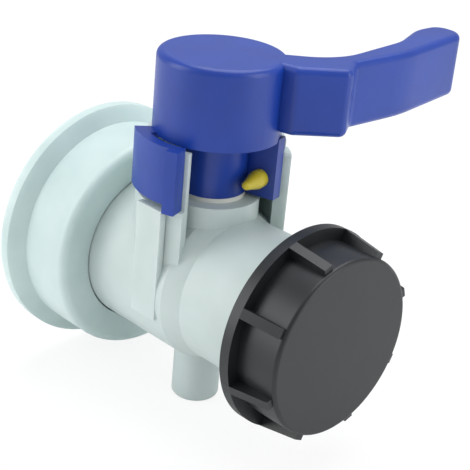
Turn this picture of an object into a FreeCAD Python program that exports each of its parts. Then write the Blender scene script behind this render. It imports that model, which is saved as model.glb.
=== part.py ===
import FreeCAD, Part
import math
import os
import re
import Sketcher
from FreeCAD import Placement, Rotation, Vector

# IBC tank valve: a butterfly valve with a union nut on the tank side and a capped, threaded spout.
# The row frame: X runs along the flow from the tank to the spout, Z up the stem. The origin is the
# centre of the union nut's open end. Every sub-part is drawn about the point where the stem's axis
# crosses the flow's axis, and is placed stem_offset along X from the origin. Lengths are in
# millimetres and angles in degrees.

SIZES = {
    # The flow tube and its spout.
    "stem_offset": 61.2,
    "tube_radius": 29.5,
    "bore_radius": 24.0,
    "tube_reach_in": 44.0,
    "tube_step_at": 9.0,
    "tube_step_run": 7.0,
    "spout_reach": 63.0,
    "thread_root_radius": 26.9,
    "thread_crest": 2.8,
    # The rubber seat round the disc.
    "seat_wall": 2.2,
    "seat_half_length": 11.0,
    # The union nut on the tank side.
    "nut_length": 30.2,
    "nut_radius": 42.0,
    "nut_rim_radius": 47.7,
    "nut_rim_width": 8.0,
    "nut_thread_radius": 37.8,
    "nut_web": 4.0,
    "nut_relief": 0.5,
    "nut_nose": 3.0,
    "nut_clearance": 0.5,
    "slip_washer_thick": 1.4,
    "retaining_ring_thick": 4.2,
    "retaining_groove_depth": 1.7,
    "gasket_thick": 3.0,
    "ring_clearance": 0.9,
    "axial_clearance": 0.2,
    "soft_clearance": 0.3,
    # The tower under the handle.
    "shell_radius": 27.2,
    "shell_top": 34.0,
    "guard_radius": 24.7,
    "guard_wall": 2.5,
    "guard_top": 54.8,
    "window_right": 41.0,
    "window_span": 106.0,
    "post_top": 49.2,
    "post_span": 22.0,
    "stem_tube_radius": 17.4,
    "stem_tube_top": 33.3,
    "rib_half_width": 6.1,
    "rib_face": 29.6,
    "rib_top": 34.0,
    "rib_bottom": 8.0,
    "boss_radius": 9.0,
    "boss_bottom": 50.6,
    # The stem, its bushes and the lower pivot.
    "stem_radius": 7.0,
    "stem_square": 9.6,
    "stem_head_top": 51.0,
    "running_clearance": 0.05,
    "bush_wall": 2.95,
    "upper_bush_length": 3.8,
    "oring_section": 1.8,
    "pivot_radius": 5.0,
    "pivot_bush_wall": 1.95,
    "pivot_bush_length": 14.0,
    "pivot_tip": 45.5,
    "plug_gap": 0.3,
    "thrust_washer_thick": 1.6,
    # The disc.
    "disc_clearance": 0.3,
    "disc_thick": 5.0,
    "disc_hub_radius": 10.5,
    "pivot_depth": 13.5,
    "stem_depth": 20.0,
    "disc_pin_radius": 1.6,
    "disc_pin_pitch": 8.0,
    "disc_pin_half": 10.0,
    # The handle.
    "hub_radius": 22.8,
    "hub_bottom": 56.2,
    "hub_top": 84.7,
    "arm_bottom": 60.2,
    "arm_reach": 103.0,
    "grip_width": 11.0,
    "grip_near": 32.6,
    "tip_radius": 6.4,
    "step_round": 3.0,
    "handle_round": 2.5,
    "spindle_radius": 12.0,
    "wing_reach": 22.6,
    "wing_angle": 15.0,
    "wing_offset": 4.5,
    "wing_thick": 4.6,
    "wing_bottom": 34.3,
    "cheek_radius": 28.9,
    "cheek_wall": 3.9,
    "cheek_bottom": 36.3,
    "cheek_top": 57.0,
    "cheek_start": 235.0,
    "cheek_end": 292.0,
    "cheek_web_span": 16.0,
    "cheek_web_thick": 1.9,
    "lip_span": 8.5,
    "lip_rise": 2.4,
    "lip_drop": 2.0,
    "drive_pin_radius": 2.0,
    "drive_pin_height": 46.0,
    "drive_pin_half": 11.8,
    "drive_pin_angle": 105.0,
    # The lock pin in the wing.
    "lock_pin_place": 16.6,
    "lock_pin_height": 41.3,
    "lock_shank_radius": 2.2,
    "lock_grip_radius": 3.4,
    "lock_tip_radius": 1.7,
    "lock_grip_length": 11.0,
    # The outlet cap.
    "cap_back": 47.2,
    "cap_front": 68.0,
    "cap_face_wall": 3.0,
    "cap_inner_radius": 30.3,
    "cap_skirt_radius": 32.6,
    "cap_flange_radius": 37.0,
    "cap_flange_thick": 4.0,
    "cap_rib_front_radius": 34.6,
    "cap_rib_width": 3.6,
    "cap_rib_count": 8,
    "cap_rib_phase": 26.3,
    "cap_edge_round": 1.4,
}

doc = FreeCAD.newDocument("tank_valve")
sheet = doc.addObject("Spreadsheet::Sheet", "Sizes")
for row, (alias, size) in enumerate(SIZES.items(), start=1):
    sheet.set("A%d" % row, alias)
    sheet.set("B%d" % row, str(size))
    sheet.setAlias("B%d" % row, alias)
doc.recompute()

sub_parts = []


def formula(text):
    """Give the expression with each size's name pointing at its cell in the sheet."""
    return re.sub(r"\b[a-z]+(?:_[a-z]+)+\b", lambda name: "Sizes." + name.group(0), str(text))


def value(text):
    """Give an expression's number."""
    return float(sheet.evalExpression(formula(text)))


def tie(item, prop, text):
    """Bind a property to sizes in the sheet."""
    item.setExpression(prop, formula(text))


def keep(item, label):
    """Place a sub-part on the stem's axis and list it under its name."""
    item.Label = label
    tie(item, "Placement.Base.x", "stem_offset")
    sub_parts.append(item)
    return item


def new_body(label):
    return keep(doc.addObject("PartDesign::Body", label + "_body"), label)


def new_sketch(body, plane, lift="0"):
    """Attach an empty sketch to one of the body's own planes, lifted along the plane's normal."""
    sketch = body.newObject("Sketcher::SketchObject", "sketch")
    support = [item for item in body.Origin.OriginFeatures if item.Role == plane][0]
    sketch.AttachmentSupport = [(support, "")]
    sketch.MapMode = "FlatFace"
    tie(sketch, "AttachmentOffset.Base.z", lift)
    return sketch


def pin_point(sketch, geometry, end, across, up):
    """Hold one end of a line or arc at a place given by two expressions."""
    if str(across) == "0":
        sketch.addConstraint(Sketcher.Constraint("PointOnObject", geometry, end, -2))
    else:
        row = sketch.addConstraint(
            Sketcher.Constraint("DistanceX", -1, 1, geometry, end, value(across)))
        tie(sketch, "Constraints[%d]" % row, across)
    if str(up) == "0":
        sketch.addConstraint(Sketcher.Constraint("PointOnObject", geometry, end, -1))
    else:
        row = sketch.addConstraint(
            Sketcher.Constraint("DistanceY", -1, 1, geometry, end, value(up)))
        tie(sketch, "Constraints[%d]" % row, up)


def outline(sketch, corners):
    """Draw a closed outline. A corner is (across, up), or (across, up, radius) where the edge from
    it to the next corner is an arc: a positive radius turns left, a negative one turns right."""
    points = [Vector(value(corner[0]), value(corner[1]), 0) for corner in corners]
    edges = []
    for place, corner in enumerate(corners):
        start = points[place]
        finish = points[(place + 1) % len(points)]
        if len(corner) == 2:
            edges.append((sketch.addGeometry(Part.LineSegment(start, finish), False), 1, 2))
            continue
        radius = abs(value(corner[2]))
        turn = math.copysign(1, value(corner[2]))
        chord = finish - start
        rise = math.sqrt(radius ** 2 - (chord.Length / 2) ** 2)
        normal = Vector(-chord.y, chord.x, 0).normalize()
        centre = (start + finish) / 2 + normal * (turn * rise)
        first, last = (start, finish) if turn > 0 else (finish, start)
        circle = Part.Circle(centre, Vector(0, 0, 1), radius)
        begin = math.atan2(first.y - centre.y, first.x - centre.x)
        end = math.atan2(last.y - centre.y, last.x - centre.x)
        arc = sketch.addGeometry(Part.ArcOfCircle(circle, begin, end), False)
        edges.append((arc, 1, 2) if turn > 0 else (arc, 2, 1))
        bend = sketch.addConstraint(Sketcher.Constraint("Radius", arc, radius))
        tie(sketch, "Constraints[%d]" % bend, "abs(%s)" % corner[2])
    for place, (edge, near, far) in enumerate(edges):
        following, start_end, _ = edges[(place + 1) % len(edges)]
        sketch.addConstraint(Sketcher.Constraint("Coincident", edge, far, following, start_end))
    for corner, (edge, near, far) in zip(corners, edges):
        pin_point(sketch, edge, near, corner[0], corner[1])
    return sketch


def disc_outline(sketch, radius):
    """Draw a circle about the sketch's origin."""
    ring = sketch.addGeometry(Part.Circle(Vector(0, 0, 0), Vector(0, 0, 1), value(radius)), False)
    sketch.addConstraint(Sketcher.Constraint("Coincident", ring, 3, -1, 1))
    row = sketch.addConstraint(Sketcher.Constraint("Radius", ring, value(radius)))
    tie(sketch, "Constraints[%d]" % row, radius)
    return sketch


def sector_outline(sketch, inner, outer, start, finish):
    """Draw a ring's sector, counter-clockwise from the start angle to the finish angle."""
    arcs = []
    for radius in (outer, inner):
        size = value(radius)
        circle = Part.Circle(Vector(0, 0, 0), Vector(0, 0, 1), size)
        begin = math.radians(value(start))
        end = math.radians(value(finish))
        arc = sketch.addGeometry(Part.ArcOfCircle(circle, begin, end), False)
        sketch.addConstraint(Sketcher.Constraint("Coincident", arc, 3, -1, 1))
        row = sketch.addConstraint(Sketcher.Constraint("Radius", arc, size))
        tie(sketch, "Constraints[%d]" % row, radius)
        for angle, at_end in ((start, 1), (finish, 2)):
            turned_to = math.radians(value(angle))
            if abs(math.sin(turned_to)) > abs(math.cos(turned_to)):
                kind, text = "DistanceX", "(%s) * cos(%s)" % (radius, angle)
            else:
                kind, text = "DistanceY", "(%s) * sin(%s)" % (radius, angle)
            row = sketch.addConstraint(
                Sketcher.Constraint(kind, -1, 1, arc, at_end, value(text)))
            tie(sketch, "Constraints[%d]" % row, text)
        arcs.append(arc)
    for at_end in (1, 2):
        side = sketch.addGeometry(Part.LineSegment(
            sketch.getPoint(arcs[0], at_end), sketch.getPoint(arcs[1], at_end)), False)
        sketch.addConstraint(Sketcher.Constraint("Coincident", side, 1, arcs[0], at_end))
        sketch.addConstraint(Sketcher.Constraint("Coincident", side, 2, arcs[1], at_end))
    return sketch


def box_outline(sketch, low_across, high_across, low_up, high_up):
    return outline(sketch, [(low_across, low_up), (high_across, low_up),
                            (high_across, high_up), (low_across, high_up)])


def feature(body, kind, sketch, length=None, backwards=False):
    """Add a pad or pocket of a sketch, and check that it changed the body."""
    before = body.Shape.Volume if body.Shape and not body.Shape.isNull() else 0.0
    item = body.newObject("PartDesign::" + kind, kind.lower())
    item.Profile = sketch
    if length is not None:
        tie(item, "Length", length)
        item.Reversed = backwards
    doc.recompute()
    if abs(body.Shape.Volume - before) < 0.01:
        raise ValueError("%s: %s changed nothing" % (body.Label, item.Name))
    return item


def turn(body, kind, sketch, axis, angle="360"):
    """Add a revolution or groove of a sketch about one of its axes."""
    before = body.Shape.Volume if body.Shape and not body.Shape.isNull() else 0.0
    item = body.newObject("PartDesign::" + kind, kind.lower())
    item.Profile = sketch
    item.ReferenceAxis = (sketch, [axis])
    tie(item, "Angle", angle)
    doc.recompute()
    if abs(body.Shape.Volume - before) < 0.01:
        raise ValueError("%s: %s changed nothing" % (body.Label, item.Name))
    return item


def round_edges(body, wanted, radius, kind="Fillet"):
    """Round or chamfer the edges of the body's last feature that the test picks out."""
    base = body.Tip
    names = ["Edge%d" % number for number, edge in enumerate(base.Shape.Edges, start=1)
             if wanted(edge)]
    if not names:
        raise ValueError("%s: no edge to round" % body.Label)
    item = body.newObject("PartDesign::" + kind, kind.lower())
    item.Base = (base, names)
    tie(item, "Radius" if kind == "Fillet" else "Size", radius)
    doc.recompute()
    return item


def turned(label, axis, corners, angle="360"):
    """Make a turned piece: about the flow's axis (H_Axis) or the stem's axis (V_Axis)."""
    body = new_body(label)
    turn(body, "Revolution", outline(new_sketch(body, "XZ_Plane"), corners), axis, angle)
    return body


def ring_about_flow(label, start, finish, inner, outer, angle="360"):
    return turned(label, "H_Axis",
                  [(start, inner), (finish, inner), (finish, outer), (start, outer)], angle)


def ring_about_stem(label, bottom, top, inner, outer):
    return turned(label, "V_Axis",
                  [(inner, bottom), (outer, bottom), (outer, top), (inner, top)])


def cylinder(name, radius, height, base=("0", "0", "0"), axis=Vector(0, 0, 1)):
    """Make a plain cylinder, as a tool or a pin."""
    item = doc.addObject("Part::Cylinder", name)
    tie(item, "Radius", radius)
    tie(item, "Height", height)
    item.Placement = Placement(Vector(0, 0, 0), Rotation(Vector(0, 0, 1), axis))
    for direction, text in zip("xyz", base):
        tie(item, "Placement.Base." + direction, text)
    return item


def boolean(kind, name, base, tool):
    item = doc.addObject("Part::" + kind, name)
    item.Base = base
    item.Tool = tool
    return item


# Places along the flow that several pieces share, from the sizes above.
nut_back = "-stem_offset"
nut_front = "(nut_length - stem_offset)"
web_back = "(%s - nut_web)" % nut_front
slip_washer_front = "(%s - axial_clearance)" % web_back
ring_front = "(%s - slip_washer_thick)" % slip_washer_front
ring_back = "(%s - retaining_ring_thick)" % ring_front
groove_radius = "(tube_radius - retaining_groove_depth)"
ring_radius = "(nut_thread_radius - ring_clearance)"
tube_back = "-tube_reach_in"
gasket_back = "(-tube_reach_in - gasket_thick)"
window_left = "(window_right - window_span + 360)"
stem_bore = "(stem_radius + running_clearance)"
bush_radius = "(%s + bush_wall)" % stem_bore
bush_bottom = "(stem_tube_top - upper_bush_length)"
pivot_bore = "(pivot_radius + running_clearance)"
pivot_bush_radius = "(%s + pivot_bush_wall)" % pivot_bore
pivot_bush_top = "(pivot_bush_length - pivot_tip)"
plug_top = "(-pivot_tip - plug_gap)"
seat_radius = "(bore_radius + seat_wall)"


def make_valve_body():
    """The moulded body: tube, spout, tower with guard and window, post, ribs and bottom boss."""
    body = new_body("valve_body")
    tube = outline(new_sketch(body, "XZ_Plane"), [
        (tube_back, "0"),
        ("spout_reach", "0"),
        ("spout_reach", "thread_root_radius"),
        ("tube_step_at + tube_step_run", "thread_root_radius"),
        ("tube_step_at", "tube_radius"),
        (ring_front, "tube_radius"),
        (ring_front, groove_radius),
        (ring_back, groove_radius),
        (ring_back, "tube_radius"),
        (tube_back, "tube_radius"),
    ])
    turn(body, "Revolution", tube, "H_Axis")
    hollow = "(guard_radius - guard_wall)"
    core_bottom = "bore_radius / 3"
    for outer, top, start, finish in (
            ("shell_radius", "shell_top", "window_right", window_left),
            ("guard_radius", "guard_top", "window_right", window_left),
            ("shell_radius", "post_top", "window_right", "(window_right + post_span)")):
        sketch = sector_outline(new_sketch(body, "XY_Plane", core_bottom), hollow, outer,
                                start, finish)
        feature(body, "Pad", sketch, "%s - %s" % (top, core_bottom))
    stem_tube = disc_outline(new_sketch(body, "XY_Plane", core_bottom), "stem_tube_radius")
    feature(body, "Pad", stem_tube, "stem_tube_top - %s" % core_bottom)
    rib = box_outline(new_sketch(body, "XY_Plane", "-rib_bottom"), "-rib_half_width",
                      "rib_half_width", "-rib_face", "guard_wall - rib_face")
    feature(body, "Pad", rib, "rib_top + rib_bottom")
    far_rib = box_outline(new_sketch(body, "XY_Plane", "-rib_bottom"), "-rib_half_width",
                          "rib_half_width", "rib_face - guard_wall", "rib_face")
    feature(body, "Pad", far_rib, "rib_top + rib_bottom")
    boss = disc_outline(new_sketch(body, "XY_Plane", "-boss_bottom"), "boss_radius")
    feature(body, "Pad", boss, "boss_bottom - bore_radius")
    bore = outline(new_sketch(body, "XZ_Plane"), [
        ("%s - 1" % tube_back, "0"),
        ("spout_reach + 1", "0"),
        ("spout_reach + 1", "bore_radius"),
        ("seat_half_length", "bore_radius"),
        ("seat_half_length", seat_radius),
        ("-seat_half_length", seat_radius),
        ("-seat_half_length", "bore_radius"),
        ("%s - 1" % tube_back, "bore_radius"),
    ])
    turn(body, "Groove", bore, "H_Axis")
    stem_way = outline(new_sketch(body, "XZ_Plane"), [
        ("0", "bore_radius / 2"),
        (stem_bore, "bore_radius / 2"),
        (stem_bore, bush_bottom),
        (bush_radius, bush_bottom),
        (bush_radius, "stem_tube_top + 1"),
        ("0", "stem_tube_top + 1"),
    ])
    turn(body, "Groove", stem_way, "V_Axis")
    pivot_way = outline(new_sketch(body, "XZ_Plane"), [
        ("0", "-bore_radius / 2"),
        (pivot_bore, "-bore_radius / 2"),
        (pivot_bore, pivot_bush_top),
        (pivot_bush_radius, pivot_bush_top),
        (pivot_bush_radius, "-boss_bottom - 1"),
        ("0", "-boss_bottom - 1"),
    ])
    turn(body, "Groove", pivot_way, "V_Axis")
    boss_bottom = value("-boss_bottom")
    boss_radius = value("boss_radius")

    def boss_rim(edge):
        box = edge.BoundBox
        return abs(box.ZMin - boss_bottom) < 0.01 and box.ZLength < 0.01 and \
            abs(box.XLength / 2 - boss_radius) < 0.01
    round_edges(body, boss_rim, "boss_radius / 6")
    return body


def make_union_nut():
    """The union nut: a rimmed collar with a web that pulls on the retaining ring."""
    return turned("union_nut", "H_Axis", [
        (nut_back, "nut_thread_radius"),
        (gasket_back, "nut_thread_radius"),
        (gasket_back, "nut_thread_radius + nut_relief"),
        (web_back, "nut_thread_radius + nut_relief"),
        (web_back, "tube_radius + nut_clearance"),
        (nut_front, "tube_radius + nut_clearance"),
        (nut_front, "nut_radius - nut_nose", "nut_nose"),
        ("%s - nut_nose" % nut_front, "nut_radius"),
        ("%s + nut_rim_width" % nut_back, "nut_radius"),
        ("%s + nut_rim_width / 2" % nut_back, "nut_rim_radius"),
        (nut_back, "nut_rim_radius"),
    ])


def make_inner_rings():
    """The rings and bushes that the body and the nut hold."""
    ring_about_flow("retaining_ring", ring_back, ring_front,
                    "%s + running_clearance" % groove_radius, ring_radius, "352")
    ring_about_flow("slip_washer", ring_front, slip_washer_front,
                    "tube_radius + soft_clearance", ring_radius)
    ring_about_flow("inlet_gasket", gasket_back, tube_back, "bore_radius", ring_radius)
    ring_about_stem("upper_bush", bush_bottom, "stem_tube_top", stem_bore, bush_radius)
    ring_about_stem("thrust_washer", "stem_tube_top", "stem_tube_top + thrust_washer_thick",
                    stem_bore, "spindle_radius")
    ring_about_stem("pivot_bush", "-pivot_tip", pivot_bush_top, pivot_bore, pivot_bush_radius)
    turned("boss_plug", "V_Axis", [
        ("0", "-boss_bottom + pivot_radius / 5"),
        ("pivot_radius / 2", "-boss_bottom + pivot_radius / 5"),
        ("pivot_radius / 2", "-boss_bottom"),
        (pivot_bush_radius, "-boss_bottom"),
        (pivot_bush_radius, plug_top),
        ("0", plug_top),
    ])


def make_seat_liner():
    """The rubber sleeve round the disc, with holes for the stem and the lower pivot."""
    outer = cylinder("seat_outer", "%s - running_clearance" % seat_radius, "2 * seat_half_length",
                     ("-seat_half_length", "0", "0"), Vector(1, 0, 0))
    inner = cylinder("seat_inner", "bore_radius", "2 * seat_half_length",
                     ("-seat_half_length", "0", "0"), Vector(1, 0, 0))
    sleeve = boolean("Cut", "seat_sleeve", outer, inner)
    stem_hole = cylinder("seat_stem_hole", stem_bore, "2 * bore_radius")
    pivot_hole = cylinder("seat_pivot_hole", pivot_bore, "2 * bore_radius",
                          ("0", "0", "-2 * bore_radius"))
    upper = boolean("Cut", "seat_upper", sleeve, stem_hole)
    keep(boolean("Cut", "seat_whole", upper, pivot_hole), "seat_liner")


def make_stem():
    """The stem: a square head for the handle, two seal grooves and a round lower end."""
    body = doc.addObject("PartDesign::Body", "stem_blank")
    groove = "oring_section"
    lower_ring = "(bore_radius + oring_section)"
    upper_ring = "(bore_radius + 3 * oring_section)"
    corners = [
        ("0", "bore_radius - stem_depth"),
        ("stem_radius", "bore_radius - stem_depth"),
    ]
    for middle in (lower_ring, upper_ring):
        corners += [
            ("stem_radius", "%s - oring_section / 2 - axial_clearance / 2" % middle),
            ("stem_radius - %s" % groove, "%s - oring_section / 2 - axial_clearance / 2" % middle),
            ("stem_radius - %s" % groove, "%s + oring_section / 2 + axial_clearance / 2" % middle),
            ("stem_radius", "%s + oring_section / 2 + axial_clearance / 2" % middle),
        ]
    corners += [
        ("stem_radius", "stem_tube_top + thrust_washer_thick"),
        ("0", "stem_tube_top + thrust_washer_thick"),
    ]
    turn(body, "Revolution", outline(new_sketch(body, "XZ_Plane"), corners), "V_Axis")
    head = box_outline(new_sketch(body, "XY_Plane", "stem_tube_top"), "-stem_square / 2",
                       "stem_square / 2", "-stem_square / 2", "stem_square / 2")
    feature(body, "Pad", head, "stem_head_top - stem_tube_top")
    drilled = boolean("Cut", "stem_with_head_hole", body, drive_pin_tool("stem_head_drill"))
    for number, height in enumerate(disc_pin_heights, start=1):
        drilled = boolean("Cut", "stem_drilled_%d" % number, drilled,
                          disc_pin_tool("stem_drill_%d" % number, height))
    keep(drilled, "stem")
    rings = [oring("stem_oring_%d" % number, "(stem_radius)", height)
             for number, height in enumerate((lower_ring, upper_ring), start=1)]
    compound("stem_orings", rings)


def compound(label, items):
    group = doc.addObject("Part::Compound", label + "_group")
    group.Links = items
    return keep(group, label)


def oring(name, shaft_radius, height):
    """An O-ring that fills the groove of a shaft and just clears the bore round it."""
    item = doc.addObject("Part::Torus", name)
    tie(item, "Radius1", "%s - oring_section / 2" % shaft_radius)
    tie(item, "Radius2", "oring_section / 2")
    tie(item, "Placement.Base.z", height)
    return item


def disc_pin_tool(name, height):
    """A disc pin's own shape, which also drills its hole through the hub and the stem."""
    return cylinder(name, "disc_pin_radius", "2 * disc_pin_half",
                    ("-disc_pin_half", "0", height), Vector(1, 0, 0))


def drive_pin_tool(name):
    """The drive pin's own shape, which also drills its hole through the spindle and the stem."""
    way = Vector(math.cos(math.radians(value("drive_pin_angle"))),
                 math.sin(math.radians(value("drive_pin_angle"))), 0)
    return cylinder(name, "drive_pin_radius", "2 * drive_pin_half",
                    ("-drive_pin_half * cos(drive_pin_angle)",
                     "-drive_pin_half * sin(drive_pin_angle)", "drive_pin_height"), way)


def make_pins():
    """The pins that join the stem to the disc and to the handle."""
    compound("disc_pins", [disc_pin_tool("disc_pin_%d" % number, height)
                           for number, height in enumerate(disc_pin_heights, start=1)])
    compound("drive_pin", [drive_pin_tool("drive_pin_whole")])


def make_disc():
    """The butterfly disc: a ball-edged plate with a hub down its middle."""
    ball = doc.addObject("Part::Sphere", "disc_ball")
    tie(ball, "Radius", "bore_radius - disc_clearance")
    plate = cylinder("disc_plate", "bore_radius", "disc_thick",
                     ("-disc_thick / 2", "0", "0"), Vector(1, 0, 0))
    hub = cylinder("disc_hub", "disc_hub_radius", "2 * bore_radius", ("0", "0", "-bore_radius"))
    blank = boolean("Fuse", "disc_blank", plate, hub)
    disc = boolean("Common", "disc_round", ball, blank)
    disc = boolean("Cut", "disc_stem_bore", disc,
                   cylinder("disc_stem_drill", "stem_radius", "bore_radius",
                            ("0", "0", "bore_radius - stem_depth")))
    disc = boolean("Cut", "disc_pivot_bore", disc,
                   cylinder("disc_pivot_drill", "pivot_radius", "bore_radius",
                            ("0", "0", "pivot_depth - 2 * bore_radius")))
    for number, height in enumerate(disc_pin_heights, start=1):
        disc = boolean("Cut", "disc_pinned_%d" % number, disc,
                       disc_pin_tool("disc_drill_%d" % number, height))
    keep(disc, "valve_disc")


def make_lower_pivot():
    """The lower pivot pin with its seal groove and O-ring."""
    middle = "(-bore_radius - 1.4 * oring_section)"
    half = "(oring_section / 2 + axial_clearance / 2)"
    depth = "oring_section"
    turned("lower_pivot", "V_Axis", [
        ("0", "-pivot_tip"),
        ("pivot_radius", "-pivot_tip"),
        ("pivot_radius", "%s - %s" % (middle, half)),
        ("pivot_radius - %s" % depth, "%s - %s" % (middle, half)),
        ("pivot_radius - %s" % depth, "%s + %s" % (middle, half)),
        ("pivot_radius", "%s + %s" % (middle, half)),
        ("pivot_radius", "pivot_depth - bore_radius"),
        ("0", "pivot_depth - bore_radius"),
    ])
    keep(oring("pivot_oring_whole", "(pivot_radius)", middle), "pivot_oring")


def across_wing(along, across):
    """Turn a place in the wing's own directions into the sketch's."""
    return ("(%s) * cos(wing_angle) - (%s) * sin(wing_angle)" % (along, across),
            "(%s) * sin(wing_angle) + (%s) * cos(wing_angle)" % (along, across))


def make_handle():
    """The handle: hub, curved lever, spindle with its stop wing, and the guard cheek."""
    body = doc.addObject("PartDesign::Body", "handle_blank")
    lever = [
        ("hub_radius / 5", "hub_radius / 2", None),
        ("grip_near - 0.75 * grip_width", "hub_radius + 8.2", "2.2 * grip_width"),
        ("grip_near - 1.09 * grip_width", "arm_reach - 33", "3 * grip_width"),
        ("grip_near - 1.78 * grip_width", "arm_reach - 14.2", "2 * grip_width"),
        ("grip_near - 1.76 * grip_width", "arm_reach", "tip_radius"),
        ("grip_near - 0.54 * grip_width", "arm_reach", "tip_radius"),
        ("grip_near + 0.05 * grip_width", "hub_radius + 38", "6 * grip_width"),
        ("grip_near - 0.05 * grip_width", "hub_radius + 10.7", "step_round"),
        ("grip_near + 0.49 * grip_width", "hub_radius + 1.4", "step_round"),
        ("hub_radius * 1.16", "hub_radius * 0.41", "step_round"),
        ("hub_radius * 0.75", "hub_radius * 0.3", None),
    ]
    feature(body, "Pad", outline(new_sketch(body, "XY_Plane", "arm_bottom"),
                                 [(across, up) for across, up, _ in lever]),
            "hub_top - arm_bottom")
    for across, up, bend in lever:
        if bend is None:
            continue
        corner = Vector(value(across), value(up), 0)

        def upright(edge, corner=corner):
            box = edge.BoundBox
            standing = box.XLength < 0.01 and box.YLength < 0.01
            return standing and math.hypot(box.XMin - corner.x, box.YMin - corner.y) < 0.01
        round_edges(body, upright, bend)

    def level(edge):
        return edge.BoundBox.ZLength < 0.01
    round_edges(body, level, "handle_round")
    hub = outline(new_sketch(body, "XZ_Plane"), [
        ("0", "hub_bottom"),
        ("hub_radius", "hub_bottom"),
        ("hub_radius", "hub_top - handle_round", "handle_round"),
        ("hub_radius - handle_round", "hub_top"),
        ("0", "hub_top"),
    ])
    turn(body, "Revolution", hub, "V_Axis")
    spindle = disc_outline(new_sketch(body, "XY_Plane", spindle_bottom), "spindle_radius")
    feature(body, "Pad", spindle, "hub_bottom + 1 - %s" % spindle_bottom)
    wing = outline(new_sketch(body, "XY_Plane", "wing_bottom"), [
        across_wing("spindle_radius / 2", "wing_offset"),
        across_wing("wing_reach", "wing_offset"),
        across_wing("wing_reach", "wing_offset + wing_thick"),
        across_wing("spindle_radius / 4", "wing_offset + wing_thick"),
    ])
    feature(body, "Pad", wing, "hub_bottom + 1 - wing_bottom")
    undercut = disc_outline(new_sketch(body, "XY_Plane", spindle_bottom), "spindle_radius")
    feature(body, "Pocket", undercut, "%s - wing_bottom" % spindle_bottom)
    cheek_inner = "(cheek_radius - cheek_wall)"
    web = sector_outline(new_sketch(body, "XY_Plane", "cheek_top - cheek_web_thick"),
                         "spindle_radius", "cheek_radius - cheek_wall / 2", "cheek_start",
                         "(cheek_start + cheek_web_span)")
    feature(body, "Pad", web, "cheek_web_thick")
    cheek = sector_outline(new_sketch(body, "XY_Plane", "cheek_bottom"), cheek_inner,
                           "cheek_radius", "cheek_start", "cheek_end")
    feature(body, "Pad", cheek, "cheek_top - cheek_bottom")
    lip = sector_outline(new_sketch(body, "XY_Plane", "cheek_bottom - lip_drop"), cheek_inner,
                         "(cheek_radius + lip_rise)", "(cheek_end - lip_span)", "cheek_end")
    feature(body, "Pad", lip, "cheek_top - cheek_bottom + lip_drop")
    socket = box_outline(new_sketch(body, "XY_Plane", spindle_bottom), "-stem_square / 2",
                         "stem_square / 2", "-stem_square / 2", "stem_square / 2")
    feature(body, "Pocket", socket, "stem_head_top + plug_gap - %s" % spindle_bottom, True)
    drilled = boolean("Cut", "handle_drilled", body, drive_pin_tool("handle_drill"))
    across, up = lock_pin_seat
    hole = cylinder("wing_drill", "lock_shank_radius + running_clearance", "3 * wing_thick",
                    (across, up, "lock_pin_height"), lock_pin_way() * -1)
    keep(boolean("Cut", "handle_whole", drilled, hole), "handle")


def lock_pin_way():
    """The direction in which the lock pin pulls out of the wing."""
    angle = math.radians(value("wing_angle"))
    return Vector(math.sin(angle), -math.cos(angle), 0)


def make_lock_pin():
    """The yellow lock pin: a shank in the wing and a tapered pull grip."""
    body = turned("lock_pin", "V_Axis", [
        ("0", "plug_gap - wing_thick"),
        ("lock_shank_radius", "plug_gap - wing_thick"),
        ("lock_shank_radius", "0"),
        ("lock_grip_radius", "0"),
        ("lock_grip_radius", "lock_grip_length / 4"),
        ("lock_tip_radius", "lock_grip_length - lock_tip_radius", "lock_tip_radius"),
        ("0", "lock_grip_length"),
    ])
    body.Placement.Rotation = Rotation(Vector(0, 0, 1), lock_pin_way())
    across, up = lock_pin_seat
    tie(body, "Placement.Base.x", "stem_offset + %s" % across)
    tie(body, "Placement.Base.y", up)
    tie(body, "Placement.Base.z", "lock_pin_height")


def make_cap():
    """The outlet cap: a flanged skirt with tapered grip ribs, and its gasket."""
    body = new_body("outlet_cap")
    inner_face = "(cap_front - cap_face_wall)"
    turn(body, "Revolution", outline(new_sketch(body, "XZ_Plane"), [
        ("cap_back", "cap_inner_radius"),
        (inner_face, "cap_inner_radius"),
        (inner_face, "0"),
        ("cap_front", "0"),
        ("cap_front", "cap_skirt_radius - cap_edge_round", "cap_edge_round"),
        ("cap_front - cap_edge_round", "cap_skirt_radius"),
        ("cap_back + cap_flange_thick", "cap_skirt_radius"),
        ("cap_back + cap_flange_thick", "cap_flange_radius"),
        ("cap_back", "cap_flange_radius"),
    ]), "H_Axis")
    rib = outline(new_sketch(body, "XZ_Plane", "-cap_rib_width / 2"), [
        ("cap_back + cap_flange_thick / 2", "cap_skirt_radius - 1"),
        ("cap_back + cap_flange_thick / 2", "cap_flange_radius"),
        ("cap_back + cap_flange_thick", "cap_flange_radius"),
        ("cap_front - cap_edge_round", "cap_rib_front_radius"),
        ("cap_front - cap_edge_round", "cap_skirt_radius - 1"),
    ])
    grip = feature(body, "Pad", rib, "cap_rib_width")
    flow_axis = [item for item in body.Origin.OriginFeatures if item.Role == "X_Axis"][0]
    ribs = body.newObject("PartDesign::PolarPattern", "ribs")
    ribs.Originals = [grip]
    ribs.Axis = (flow_axis, [""])
    ribs.Angle = 360
    tie(ribs, "Occurrences", "cap_rib_count")
    body.Tip = ribs
    doc.recompute()
    body.Placement.Rotation = Rotation(
        Vector(1, 0, 0), 360 / value("cap_rib_count") - value("cap_rib_phase"))
    ring_about_flow("cap_gasket", "spout_reach", inner_face, "bore_radius - ring_clearance / 2",
                    "cap_inner_radius - soft_clearance")


spindle_bottom = "(stem_tube_top + thrust_washer_thick + axial_clearance / 2)"
disc_pin_heights = ("bore_radius - stem_depth + disc_pin_pitch / 2",
                    "bore_radius - stem_depth + 1.5 * disc_pin_pitch")
lock_pin_seat = across_wing("lock_pin_place", "wing_offset")

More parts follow.
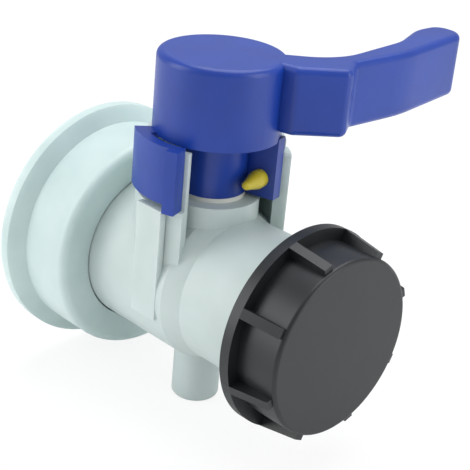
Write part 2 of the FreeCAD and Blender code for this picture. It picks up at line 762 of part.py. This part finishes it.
make_valve_body()
make_union_nut()
make_inner_rings()
make_seat_liner()
make_stem()
make_pins()
make_disc()
make_lower_pivot()
make_handle()
make_lock_pin()
make_cap()
doc.recompute()

for item in doc.Objects:
    if "Invalid" in item.State or "Error" in item.State:
        raise ValueError("%s could not be made: %s" % (item.Name, item.State))
os.makedirs("parts", exist_ok=True)
for item in sub_parts:
    if item.Shape.isNull() or not item.Shape.isValid():
        raise ValueError("%s has no sound shape" % item.Label)
    item.Shape.exportStep("parts/%s.step" % item.Label)
    print("%s: %d solids, %.0f mm3" % (item.Label, len(item.Shape.Solids), item.Shape.Volume))
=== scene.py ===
# %% [markdown]
# # A tank valve in bulk plastic
# The object is a quarter-turn valve for a bulk liquid container. A cloudy moulded body carries a
# blue lever handle on top, a union nut behind and a black screw cap in front. The moving pieces
# come ready from the frame. This lesson stands them in a white studio, gives them their plastics
# and adds the screw thread inside the union nut's mouth.

# %% Load the ready pieces
import math
import bpy
from mathutils import Matrix, Vector


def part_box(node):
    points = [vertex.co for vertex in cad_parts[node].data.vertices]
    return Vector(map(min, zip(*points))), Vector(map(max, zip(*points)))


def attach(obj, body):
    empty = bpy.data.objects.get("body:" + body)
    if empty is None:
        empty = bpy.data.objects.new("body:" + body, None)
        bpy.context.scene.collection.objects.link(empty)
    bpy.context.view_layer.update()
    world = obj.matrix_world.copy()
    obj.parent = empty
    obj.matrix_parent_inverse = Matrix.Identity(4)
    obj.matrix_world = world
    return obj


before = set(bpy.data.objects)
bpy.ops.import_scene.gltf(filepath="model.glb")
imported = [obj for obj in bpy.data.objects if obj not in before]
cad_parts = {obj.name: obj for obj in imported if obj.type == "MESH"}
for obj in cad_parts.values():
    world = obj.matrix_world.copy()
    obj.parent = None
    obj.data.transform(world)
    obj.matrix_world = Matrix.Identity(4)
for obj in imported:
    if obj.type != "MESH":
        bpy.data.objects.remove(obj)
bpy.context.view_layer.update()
MM = 0.001
STEM_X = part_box("stem")[0].x / 2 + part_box("stem")[1].x / 2
print("stem axis at", round(STEM_X / MM, 2), "mm")

# %% [markdown]
# The camera stands a forearm's length away, in front of the spout and to its left, and looks
# down on the valve. The valve leans a little as it stands, and the lean is given to the camera
# as a roll. The lens is long, so the cap doesn't swell towards the viewer.

# %% Set the camera
CAMERA_AT = Vector((348.9, -288.3, 202.7)) * MM
LENS_MM = 94.19
SENSOR_MM = 36
NEAREST_SEEN = 0.01
azimuth, elevation, roll = (math.radians(a) for a in (43.547, 24.573, 5.457))
right = Vector((math.cos(azimuth), math.sin(azimuth), 0))
back = Vector((math.sin(azimuth) * math.cos(elevation), -math.cos(azimuth) * math.cos(elevation),
               math.sin(elevation)))
up = back.cross(right)
tilted_right = math.cos(roll) * right + math.sin(roll) * up
tilted_up = -math.sin(roll) * right + math.cos(roll) * up
camera = bpy.data.objects.new("camera", bpy.data.cameras.new("camera"))
bpy.context.collection.objects.link(camera)
camera.matrix_world = Matrix.Translation(CAMERA_AT) @ Matrix(
    (tilted_right, tilted_up, back)).transposed().to_4x4()
camera.data.lens = LENS_MM
camera.data.sensor_width = SENSOR_MM
camera.data.clip_start = NEAREST_SEEN
bpy.context.scene.camera = camera
print("camera", [round(v, 3) for v in camera.location])

# %% [markdown]
# A surface is built from shader nodes. One helper adds a node, gives it its settings and joins
# its sockets, so that every material below reads as a list of steps. Colours are written as the
# hex values a paint chart uses, and one function turns them to the linear light the renderer
# works in.


# %% Two helpers for materials
def linear(hex_colour):
    """An sRGB hex colour as linear red, green, blue and alpha."""
    parts = [int(hex_colour[i:i + 2], 16) / 255 for i in (1, 3, 5)]
    return [p / 12.92 if p <= 0.04045 else ((p + 0.055) / 1.055) ** 2.4 for p in parts] + [1.0]


def add(tree, kind, inputs=None, **settings):
    """Add a node, give it its settings, and set or link its inputs."""
    made = tree.nodes.new(kind)
    for name, value in settings.items():
        setattr(made, name, value)
    for name, value in (inputs or {}).items():
        if isinstance(value, bpy.types.NodeSocket):
            tree.links.new(value, made.inputs[name])
        else:
            made.inputs[name].default_value = value
    return made


# %% [markdown]
# The floor and the background are plain and pale. The floor is painted almost white and, where
# only the camera looks, it also glows a little, so it meets the white room without a line but
# still takes the soft shadow under the valve.

# %% Paint the room and the floor
FLOOR_SIZE = 8  # metres, so its edge is out of sight
FLOOR_GAP = 0.0002  # below the valve, so the two faces don't flicker
SKY_STRENGTH = 0.62
GLOW_SHARE = 0.82  # how much of the floor the camera sees as glow and not as paint
GLOW_STRENGTH = 1.04
FLOOR_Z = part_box("valve_body")[0].z - FLOOR_GAP
world = bpy.data.worlds.new("white room")
bpy.context.scene.world = world
world.use_nodes = True
world.node_tree.nodes.clear()
seen = add(world.node_tree, "ShaderNodeLightPath")
sky = add(world.node_tree, "ShaderNodeBackground",
          {"Color": linear("#F4F7FA"), "Strength": SKY_STRENGTH})
white = add(world.node_tree, "ShaderNodeBackground", {"Color": (1, 1, 1, 1), "Strength": 1.0})
both = add(world.node_tree, "ShaderNodeMixShader", {0: seen.outputs["Is Camera Ray"]})
world.node_tree.links.new(sky.outputs[0], both.inputs[1])
world.node_tree.links.new(white.outputs[0], both.inputs[2])
add(world.node_tree, "ShaderNodeOutputWorld", {"Surface": both.outputs[0]})

bpy.ops.object.select_all(action="DESELECT")
bpy.ops.mesh.primitive_plane_add(size=FLOOR_SIZE, location=(0, 0, FLOOR_Z))
floor = bpy.context.object
floor.name = "floor"
paint = bpy.data.materials.new("white floor paint, rolled")
paint.use_nodes = True
tree = paint.node_tree
tree.nodes.clear()
seen = add(tree, "ShaderNodeLightPath")
share = add(tree, "ShaderNodeMath", {0: seen.outputs["Is Camera Ray"], 1: GLOW_SHARE},
            operation="MULTIPLY")
matt = add(tree, "ShaderNodeBsdfDiffuse", {"Color": linear("#F2F2F2")})
glow = add(tree, "ShaderNodeEmission", {"Color": (1, 1, 1, 1), "Strength": GLOW_STRENGTH})
both = add(tree, "ShaderNodeMixShader", {0: share.outputs[0]})
tree.links.new(matt.outputs[0], both.inputs[1])
tree.links.new(glow.outputs[0], both.inputs[2])
add(tree, "ShaderNodeOutputMaterial", {"Surface": both.outputs[0]})
floor.data.materials.append(paint)
print("floor at", round(FLOOR_Z / MM, 1), "mm")

# %% [markdown]
# Studio light for shiny plastic is large and soft. A wide panel hangs overhead and gives the
# tops their pale sheen. A tall panel at each side draws the light edges on the round hub and
# leaves its middle deep blue.


# %% Hang the lamps
def lamp(name, place, aim, width, height, watts):
    """A rectangular soft lamp that faces the point it is aimed at."""
    light = bpy.data.lights.new(name, "AREA")
    light.shape = "RECTANGLE"
    light.size = width
    light.size_y = height
    light.energy = watts
    holder = bpy.data.objects.new(name, light)
    bpy.context.collection.objects.link(holder)
    way = Vector(aim) - Vector(place)
    holder.matrix_world = Matrix.Translation(place) @ way.to_track_quat("-Z", "Y").to_matrix(
        ).to_4x4()
    print(name, watts, "W")


VALVE_MIDDLE = (STEM_X, 0.02, 0.02)
lamp("overhead panel", (-0.05, 0.25, 0.95), VALVE_MIDDLE, width=0.9, height=0.9, watts=7.5)
lamp("left panel", (-0.5, -0.75, 0.35), VALVE_MIDDLE, width=0.5, height=0.9, watts=4.5)
lamp("right panel", (0.95, 0.35, 0.35), VALVE_MIDDLE, width=0.5, height=0.9, watts=4.0)

# %% [markdown]
# Nearly every piece is moulded plastic. What tells one from another is its colour, how cloudy
# it is and how polished its mould was. One recipe covers them. Slow patches of tone come from
# the melt cooling at different rates, a fine grain from the mould's spark-eroded face, and a
# very shallow waviness from shrinkage over thick walls.


# %% Mix the plastics
PLASTIC_IOR = 1.5
TONE_FROM, TONE_TO = 0.3, 0.7  # the noise levels where one tone starts to turn into the other
DULLER, SHINIER = 0.06, 0.05  # how far the grain moves the roughness up and down
WAVE_SIZE = 0.6  # as a share of the patch
WAVE_DEPTH = 8  # as a multiple of the grain's relief
WAVE_STRENGTH = 0.35
PIT_STRENGTH = 0.5
GLOW_COLOUR_REACH = (1.0, 1.0, 0.9)
GLOW_REACH = 0.006  # metres that light travels in cloudy plastic


def moulded(name, tone, deeper, patch, polish, grain, relief, cloud=0.0):
    """A moulded plastic. patch and grain are in millimetres, relief in millimetres of depth."""
    material = bpy.data.materials.new(name)
    material.use_nodes = True
    tree = material.node_tree
    tree.nodes.clear()
    place = add(tree, "ShaderNodeTexCoord").outputs["Object"]
    melt = add(tree, "ShaderNodeTexNoise", {
        "Vector": place, "Scale": 1 / (patch * MM), "Detail": 3.0, "Roughness": 0.55})
    level = add(tree, "ShaderNodeMapRange", {
        "Value": melt.outputs["Fac"], "From Min": TONE_FROM, "From Max": TONE_TO})
    tone_mix = add(tree, "ShaderNodeMix", data_type="RGBA", inputs={
        "Factor": level.outputs[0], 6: linear(tone), 7: linear(deeper)})
    fine = add(tree, "ShaderNodeTexNoise", {
        "Vector": place, "Scale": 1 / (grain * MM), "Detail": 2.0})
    shine = add(tree, "ShaderNodeMapRange", {
        "Value": fine.outputs["Fac"], "To Min": polish - SHINIER, "To Max": polish + DULLER})
    shrink = add(tree, "ShaderNodeTexNoise", {
        "Vector": place, "Scale": 1 / (WAVE_SIZE * patch * MM), "Detail": 1.0})
    waves = add(tree, "ShaderNodeBump", {
        "Height": shrink.outputs["Fac"], "Strength": WAVE_STRENGTH,
        "Distance": WAVE_DEPTH * relief * MM})
    pits = add(tree, "ShaderNodeBump", {
        "Height": fine.outputs["Fac"], "Strength": PIT_STRENGTH, "Distance": relief * MM,
        "Normal": waves.outputs[0]})
    shader = add(tree, "ShaderNodeBsdfPrincipled", {
        "Base Color": tone_mix.outputs[2], "Roughness": shine.outputs[0],
        "Normal": pits.outputs[0], "IOR": PLASTIC_IOR, "Subsurface Weight": cloud,
        "Subsurface Radius": GLOW_COLOUR_REACH, "Subsurface Scale": GLOW_REACH})
    add(tree, "ShaderNodeOutputMaterial", {"Surface": shader.outputs[0]})
    return material


natural = moulded("natural HDPE, moulded, cloudy", "#CCD8D6", "#C0CDC9",
                  patch=34, polish=0.42, grain=0.5, relief=0.02, cloud=0.35)
nut_natural = moulded("natural HDPE, thick moulding", "#CBDCDA", "#BDD0CE",
                      patch=26, polish=0.36, grain=0.5, relief=0.02, cloud=0.4)
blue = moulded("blue HDPE, moulded, satin", "#0F3A9C", "#0D348E",
               patch=22, polish=0.36, grain=0.35, relief=0.015)
black = moulded("black HDPE, moulded, spark-eroded grain", "#15191B", "#111517",
                patch=15, polish=0.4, grain=0.4, relief=0.02)
yellow = moulded("yellow polypropylene, moulded, gloss", "#D2C033", "#C4B12A",
                 patch=8, polish=0.28, grain=0.4, relief=0.01, cloud=0.1)
acetal = moulded("white acetal, turned", "#E6E6DF", "#DCDCD4",
                 patch=12, polish=0.4, grain=0.4, relief=0.01, cloud=0.1)
filled = moulded("glass-filled polypropylene, moulded", "#3A3D40", "#303336",
                 patch=6, polish=0.5, grain=0.3, relief=0.02)
epdm = moulded("black EPDM rubber, pressed", "#1D1D1C", "#252524",
               patch=9, polish=0.62, grain=0.3, relief=0.03)
nitrile = moulded("black nitrile rubber, moulded sleeve", "#232325", "#1B1B1D",
                  patch=9, polish=0.55, grain=0.3, relief=0.03)
print("nine plastics and rubbers mixed")

# %% [markdown]
# The cross pins are drawn stainless steel, ground to size. Grinding leaves a fine unevenness, a
# fraction of a millimetre across, which a very shallow bump gives.

# %% Mix the steel
GRINDING_SIZE = 0.4  # millimetres
GRINDING_DEPTH = 0.01  # millimetres
steel = bpy.data.materials.new("stainless steel, ground")
steel.use_nodes = True
tree = steel.node_tree
tree.nodes.clear()
place = add(tree, "ShaderNodeTexCoord").outputs["Object"]
marks = add(tree, "ShaderNodeTexNoise", {
    "Vector": place, "Scale": 1 / (GRINDING_SIZE * MM), "Detail": 3.0})
fine = add(tree, "ShaderNodeBump", {
    "Height": marks.outputs["Fac"], "Strength": 0.2, "Distance": GRINDING_DEPTH * MM})
shader = add(tree, "ShaderNodeBsdfPrincipled", {
    "Base Color": linear("#C9C8C4"), "Metallic": 1.0, "Roughness": 0.28,
    "Normal": fine.outputs[0]})
add(tree, "ShaderNodeOutputMaterial", {"Surface": shader.outputs[0]})
print("steel mixed")

# %% [markdown]
# Each ready piece gets the finish of the stuff it is made of. One table says which, so a piece
# that was forgotten is easy to find.

# %% Give each ready piece its finish
FINISHES = {
    "valve_body": natural, "boss_plug": natural, "union_nut": nut_natural, "valve_disc": natural,
    "handle": blue, "lock_pin": yellow, "outlet_cap": black,
    "stem": filled, "lower_pivot": filled, "retaining_ring": filled,
    "upper_bush": acetal, "pivot_bush": acetal, "thrust_washer": acetal, "slip_washer": acetal,
    "inlet_gasket": epdm, "cap_gasket": epdm, "stem_orings": epdm, "pivot_oring": epdm,
    "seat_liner": nitrile, "disc_pins": steel, "drive_pin": steel,
}
for name, finish in FINISHES.items():
    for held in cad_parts[name].material_slots:
        held.material = finish
print(len(FINISHES), "ready pieces have their finish")

# %% [markdown]
# A screw thread is one tooth wound along the axis. The real ones are coarse, with 6 mm from turn
# to turn, so that a gloved hand can start them. A flat tooth is laid beside the flow's axis, its
# crest is drawn in, and a Screw modifier winds it. Both ends are then closed flat, which is
# plainer than the tapered run-out that a mould leaves.

# %% A helper that winds a thread
PITCH = 6.0 * MM
STEPS_PER_TURN = 72
ROOT_HALF, CREST_HALF = 0.5, 0.22  # half widths, as shares of the tooth's width
WELD_WITHIN = 0.00001
SMOOTH_UNDER = math.radians(40)


def nothing_selected():
    """Leave edit mode and let go of everything, because an operator acts on all it holds."""
    if bpy.context.object and bpy.context.object.mode == "EDIT":
        bpy.ops.object.mode_set(mode="OBJECT")
    bpy.ops.object.select_all(action="DESELECT")


def thread(name, start, turns, root, crest, width, body, finish):
    """A helical ridge about the flow's axis, from the root radius to the crest radius."""
    nothing_selected()
    low, high = min(root, crest), max(root, crest)
    bpy.ops.mesh.primitive_plane_add(size=1, location=(start, 0, (low + high) / 2),
                                     rotation=(math.pi / 2, 0, 0),
                                     scale=(width, high - low, 1))
    tooth = bpy.context.object
    tooth.name = name
    bpy.ops.object.transform_apply(location=True, rotation=True, scale=True)
    for v in tooth.data.vertices:
        crest_side = abs(v.co.z - crest) < abs(v.co.z - root)
        v.co.z = crest if crest_side else root
        half = (CREST_HALF if crest_side else ROOT_HALF) * width
        v.co.x = start + math.copysign(half, v.co.x - start)
    turns_up = tooth.modifiers.new("wind", "SCREW")
    turns_up.axis = "X"
    turns_up.angle = 2 * math.pi
    turns_up.screw_offset = PITCH
    turns_up.iterations = turns
    turns_up.steps = turns_up.render_steps = STEPS_PER_TURN
    bpy.ops.object.modifier_apply(modifier="wind")
    bpy.ops.object.mode_set(mode="EDIT")
    bpy.ops.mesh.select_all(action="SELECT")
    bpy.ops.mesh.remove_doubles(threshold=WELD_WITHIN)
    bpy.ops.mesh.select_all(action="DESELECT")
    bpy.ops.mesh.select_non_manifold()
    bpy.ops.mesh.fill_holes(sides=8)
    bpy.ops.mesh.select_all(action="SELECT")
    bpy.ops.mesh.normals_make_consistent(inside=False)
    bpy.ops.object.mode_set(mode="OBJECT")
    bpy.ops.object.shade_smooth_by_angle(angle=SMOOTH_UNDER)
    tooth.data.materials.append(finish)
    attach(tooth, body)
    xs = [v.co.x for v in tooth.data.vertices]
    print(name, len(tooth.data.polygons), "faces, x", round(min(xs) / MM, 1), "to",
          round(max(xs) / MM, 1))


# %% [markdown]
# The union nut screws onto the tank's spout. Its thread starts just inside the mouth and makes
# one turn. The root is set a hair into the wall, so that no gap shows between the two.

# %% Wind the union nut's thread
NUT_BORE = 37.8 * MM
INTO_WALL = 0.05 * MM
TOOTH_HEIGHT = 2.2 * MM
thread("union_thread", start=1.9 * MM, turns=1, root=NUT_BORE + INTO_WALL,
       crest=NUT_BORE - TOOTH_HEIGHT, width=3.2 * MM, body="nut",
       finish=nut_natural)

# %% [markdown]
# Standard is the view that shows a colour as it was mixed.

# %% Set the view
bpy.context.scene.view_settings.view_transform = "Standard"
